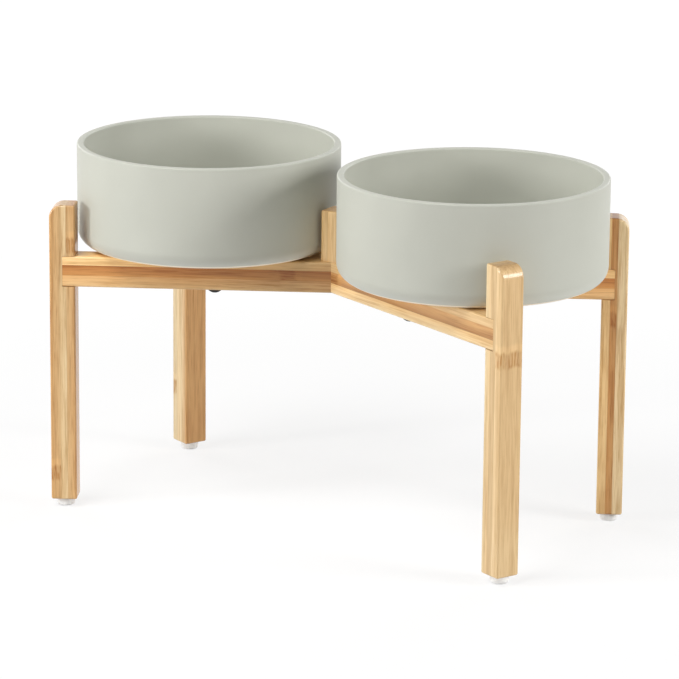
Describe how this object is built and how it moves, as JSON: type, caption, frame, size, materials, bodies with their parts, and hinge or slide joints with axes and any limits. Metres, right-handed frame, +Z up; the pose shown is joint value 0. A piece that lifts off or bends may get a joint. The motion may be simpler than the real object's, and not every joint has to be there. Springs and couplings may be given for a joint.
{
  "type": "elevated double pet bowl",
  "caption": "Straight-sided ceramic pet bowls that lift out of a bamboo stand with crossed rails, square legs, a centre post and nail-on feet.",
  "frame": {"origin": "on the floor, under the point where the rails cross, midway between the bowls", "axes": "+X from the left bowl to the right bowl, +Y to the back, +Z up"},
  "size_m": [0.437, 0.2096, 0.2815],
  "materials": {
    "bowl_glaze": "satin grey-green glaze",
    "bamboo": "clear-lacquered laminated bamboo",
    "dowel_wood": "plain turned dowel",
    "white_plastic": "moulded",
    "black_rubber": "moulded",
    "steel": "zinc plated",
    "insert_brass": "plain"
  },
  "bodies": {
    "stand": {"rail_lower": "bamboo", "rail_upper": "bamboo", "centre_post": "bamboo", "leg_front_left": "bamboo", "leg_back_left": "bamboo", "leg_front_right": "bamboo", "leg_back_right": "bamboo", "foot_front_left": "white_plastic", "foot_back_left": "white_plastic", "foot_front_right": "white_plastic", "foot_back_right": "white_plastic", "grip_plug_front_left": "black_rubber", "grip_plug_back_left": "black_rubber", "grip_plug_front_right": "black_rubber", "grip_plug_back_right": "black_rubber", "foot_nails": "steel", "leg_dowels": "dowel_wood", "centre_bolt": "steel", "centre_washer": "steel", "centre_insert": "insert_brass"},
    "left_bowl": {"bowl_left": "bowl_glaze"},
    "right_bowl": {"bowl_right": "bowl_glaze"}
  },
  "joints": [
    {"name": "left_bowl_lift", "type": "slide", "parent": "stand", "child": "left_bowl", "axis": [0, 0, 1], "range_m": [0, 0.1]},
    {"name": "right_bowl_lift", "type": "slide", "parent": "stand", "child": "right_bowl", "axis": [0, 0, 1], "range_m": [0, 0.1]}
  ]
}
